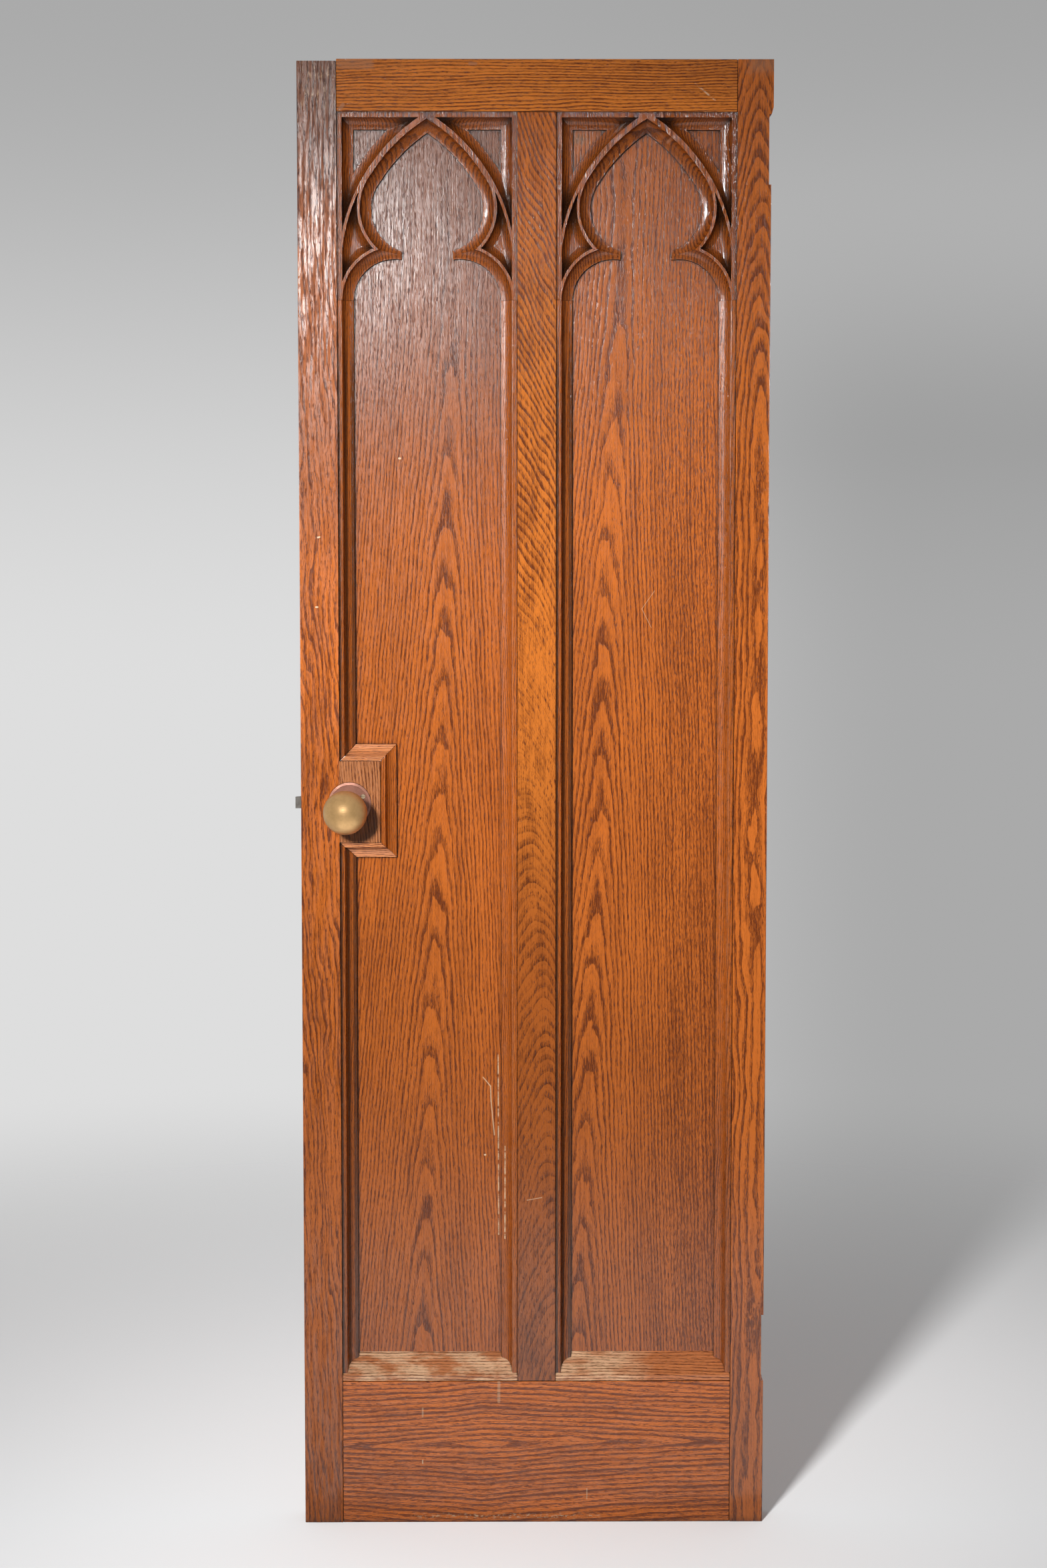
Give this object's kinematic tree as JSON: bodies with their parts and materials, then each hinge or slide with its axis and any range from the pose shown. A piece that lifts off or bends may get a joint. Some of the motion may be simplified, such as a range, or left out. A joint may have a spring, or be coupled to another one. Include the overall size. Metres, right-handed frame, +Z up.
{
  "type": "carved oak door leaf",
  "caption": "Tall framed oak door leaf with recessed panels under pointed, cusped tracery, a lock block, round knobs, and a latch bolt drawn back by turning a knob.",
  "frame": {"origin": "middle of the bottom edge, halfway through the thickness", "axes": "+Z up, carved face towards -Y, lock edge towards -X, hanging edge towards +X"},
  "size_m": [0.6183, 0.195, 1.915],
  "materials": {
    "oak_frame": "stained and varnished oak",
    "oak_panel": "stained and varnished flat-sawn oak",
    "oak_moulding": "stained and varnished oak",
    "oak_worn": "varnish worn to bare oak",
    "aged_brass": "dulled brass",
    "bronze": "dull reddish bronze",
    "latch_steel": "worn grey steel",
    "lock_iron": "dark iron"
  },
  "bodies": {
    "leaf": {"lock_stile": "oak_frame", "hanging_stile": "oak_frame", "top_rail": "oak_frame", "bottom_rail": "oak_frame", "muntin": "oak_frame", "lock_block": "oak_frame", "left_panel": "oak_panel", "right_panel": "oak_panel", "left_tracery_lock_half": "oak_moulding", "left_tracery_muntin_half": "oak_moulding", "right_tracery_muntin_half": "oak_moulding", "right_tracery_hanging_half": "oak_moulding", "left_moulding_above_lock": "oak_moulding", "left_moulding_below_lock": "oak_moulding", "left_moulding_muntin": "oak_moulding", "right_moulding_muntin": "oak_moulding", "right_moulding_hanging": "oak_moulding", "block_moulding_top": "oak_moulding", "block_moulding_side": "oak_moulding", "block_moulding_bottom": "oak_moulding", "back_left_top": "oak_moulding", "back_left_muntin": "oak_moulding", "back_left_bottom": "oak_moulding", "back_left_below_lock": "oak_moulding", "back_block_bottom": "oak_moulding", "back_block_side": "oak_moulding", "back_block_top": "oak_moulding", "back_left_above_lock": "oak_moulding", "back_right_top": "oak_moulding", "back_right_hanging": "oak_moulding", "back_right_bottom": "oak_moulding", "back_right_muntin": "oak_moulding", "left_sill": "oak_worn", "right_sill": "oak_worn", "lock_case": "lock_iron", "lock_cover": "lock_iron", "latch_spring": "lock_iron", "rosette_screws": "lock_iron", "lock_front": "aged_brass", "lock_front_screws": "aged_brass", "front_rosette": "bronze", "back_rosette": "bronze"},
    "knob": {"front_knob": "aged_brass", "back_knob": "aged_brass", "spindle": "lock_iron", "lock_hub": "lock_iron", "knob_set_screws": "lock_iron"},
    "latch": {"latch_bolt": "latch_steel"}
  },
  "joints": [
    {"name": "knob_turn", "type": "hinge", "parent": "leaf", "child": "knob", "pos_m": [-0.245, 0, 0.953], "axis": [0, 1, 0], "range_deg": [0, 34]},
    {"name": "latch_slide", "type": "slide", "parent": "leaf", "child": "latch", "axis": [1, 0, 0], "range_m": [0, 0.0085], "stiffness_N_per_m": 300, "springref_m": -0.005, "deforming": ["latch_spring"]}
  ],
  "couplings": [
    {"joint": "latch_slide", "follows": "knob_turn", "m_per_rad": 0.0142}
  ]
}
